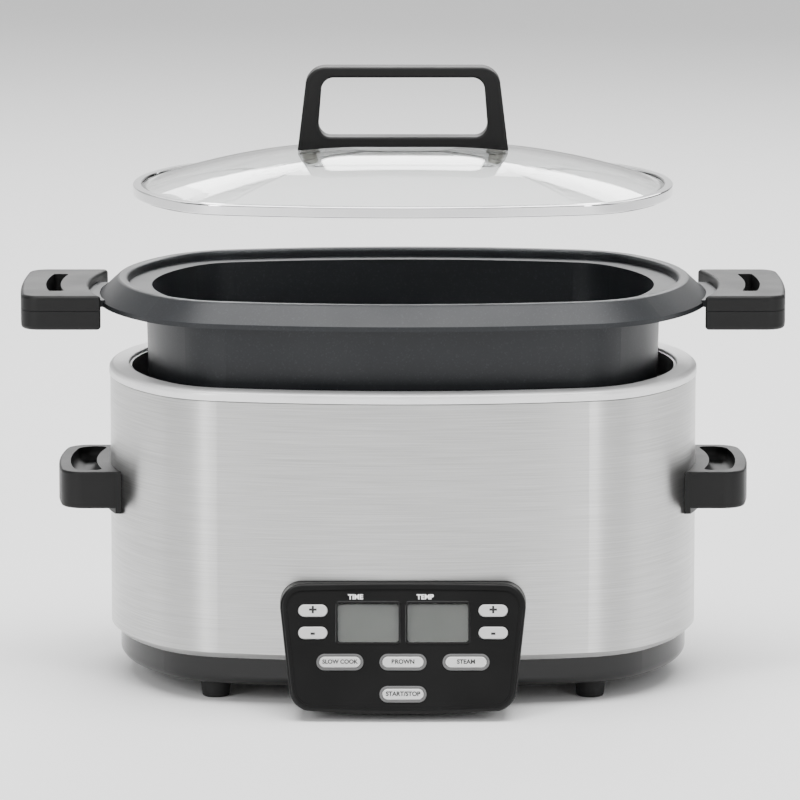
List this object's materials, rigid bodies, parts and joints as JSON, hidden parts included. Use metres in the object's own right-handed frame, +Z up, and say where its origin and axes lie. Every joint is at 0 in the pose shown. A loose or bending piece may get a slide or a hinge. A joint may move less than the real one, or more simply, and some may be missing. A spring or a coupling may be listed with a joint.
{
  "type": "slow cooker",
  "caption": "Oblong countertop slow cooker with a brushed steel heated housing, sloping push-button panel, lift-out non-stick pot and domed glass lid.",
  "frame": {"origin": "middle of the footprint of the whole object, on the surface it stands on", "axes": "+X across the width, -Y towards the control panel, +Z up"},
  "size_m": [0.494, 0.3082, 0.3954],
  "materials": {
    "board_green": "solder mask",
    "brushed_steel": "satin, fine horizontal brushing",
    "button_silver": "silver-white satin",
    "cable_grey": "flat cable sheath",
    "cast_aluminium": "fine cast and turned",
    "clear_glass": "clear tempered",
    "component_black": "moulded epoxy",
    "component_yellow": "varnished tape",
    "foot_rubber": "matt",
    "gloss_black": "gloss black",
    "lcd_grey": "unlit liquid crystal display",
    "lead_sleeve": "glass-fibre sleeve",
    "liner_grey": "matt pressed sheet",
    "matt_black": "fine moulded texture",
    "nonstick": "speckled metallic non-stick coating, satin",
    "panel_black": "satin black",
    "polished_steel": "mirror polished",
    "rim_silver": "bright satin",
    "ring_grey": "grey satin",
    "silicone": "translucent silicone",
    "spring_steel": "bright drawn wire",
    "window_clear": "clear grey acrylic",
    "zinc_steel": "zinc plated"
  },
  "bodies": {
    "base": {"base_pan": "gloss_black", "base_screws": "zinc_steel", "button_rings": "ring_grey", "capacitor": "component_black", "control_board": "board_green", "cord_gland": "foot_rubber", "foot_front_left": "foot_rubber", "foot_front_right": "foot_rubber", "foot_rear_left": "foot_rubber", "foot_rear_right": "foot_rubber", "foot_screws": "zinc_steel", "heat_shield": "zinc_steel", "heat_sink": "cast_aluminium", "heater_element": "zinc_steel", "heater_leads": "lead_sleeve", "heater_plate": "cast_aluminium", "heating_liner": "liner_grey", "lcd_temp": "lcd_grey", "lcd_time": "lcd_grey", "lcd_window_temp": "window_clear", "lcd_window_time": "window_clear", "liner_nuts": "zinc_steel", "panel_back": "gloss_black", "panel_bezel": "panel_black", "panel_screws": "zinc_steel", "power_board": "board_green", "relay": "component_black", "ribbon_cable": "cable_grey", "sensor_cup": "zinc_steel", "sensor_spring": "spring_steel", "side_handle_left": "matt_black", "side_handle_plates": "zinc_steel", "side_handle_right": "matt_black", "side_handle_screws": "zinc_steel", "steel_wrapper": "brushed_steel", "tact_switches": "component_black", "thermal_fuse": "component_black", "top_rim": "rim_silver", "transformer": "component_yellow"},
    "pot": {"cooking_pot": "nonstick", "pot_handle_left_lower": "matt_black", "pot_handle_left_upper": "matt_black", "pot_handle_right_lower": "matt_black", "pot_handle_right_upper": "matt_black", "pot_handle_screws": "zinc_steel"},
    "lid": {"lid_gaskets": "silicone", "lid_glass": "clear_glass", "lid_handle": "matt_black", "lid_rim": "polished_steel", "lid_screws": "zinc_steel"},
    "sensor_cap": {"sensor_cap": "cast_aluminium"},
    "brown_button": {"brown_button": "button_silver"},
    "slow_cook_button": {"slow_cook_button": "button_silver"},
    "start_stop_button": {"start_stop_button": "button_silver"},
    "steam_button": {"steam_button": "button_silver"},
    "temp_down_button": {"temp_down_button": "button_silver"},
    "temp_up_button": {"temp_up_button": "button_silver"},
    "time_down_button": {"time_down_button": "button_silver"},
    "time_up_button": {"time_up_button": "button_silver"}
  },
  "joints": [
    {"name": "pot_lift", "type": "slide", "parent": "base", "child": "pot", "axis": [0, 0, 1], "range_m": [-0.047, 0.105]},
    {"name": "lid_lift", "type": "slide", "parent": "pot", "child": "lid", "axis": [0, 0, 1], "range_m": [-0.059, 0.04]},
    {"name": "sensor_press", "type": "slide", "parent": "base", "child": "sensor_cap", "axis": [0, 0, 1], "range_m": [-0.002, 0], "stiffness_N_per_m": 900, "deforming": ["sensor_spring"]},
    {"name": "brown_press", "type": "slide", "parent": "base", "child": "brown_button", "axis": [0, 0.9124, -0.4094], "range_m": [0, 0.001], "stiffness_N_per_m": 1200},
    {"name": "slow_cook_press", "type": "slide", "parent": "base", "child": "slow_cook_button", "axis": [0, 0.9124, -0.4094], "range_m": [0, 0.001], "stiffness_N_per_m": 1200},
    {"name": "start_stop_press", "type": "slide", "parent": "base", "child": "start_stop_button", "axis": [0, 0.9124, -0.4094], "range_m": [0, 0.001], "stiffness_N_per_m": 1200},
    {"name": "steam_press", "type": "slide", "parent": "base", "child": "steam_button", "axis": [0, 0.9124, -0.4094], "range_m": [0, 0.001], "stiffness_N_per_m": 1200},
    {"name": "temp_down_press", "type": "slide", "parent": "base", "child": "temp_down_button", "axis": [0, 0.9124, -0.4094], "range_m": [0, 0.001], "stiffness_N_per_m": 1200},
    {"name": "temp_up_press", "type": "slide", "parent": "base", "child": "temp_up_button", "axis": [0, 0.9124, -0.4094], "range_m": [0, 0.001], "stiffness_N_per_m": 1200},
    {"name": "time_down_press", "type": "slide", "parent": "base", "child": "time_down_button", "axis": [0, 0.9124, -0.4094], "range_m": [0, 0.001], "stiffness_N_per_m": 1200},
    {"name": "time_up_press", "type": "slide", "parent": "base", "child": "time_up_button", "axis": [0, 0.9124, -0.4094], "range_m": [0, 0.001], "stiffness_N_per_m": 1200}
  ]
}
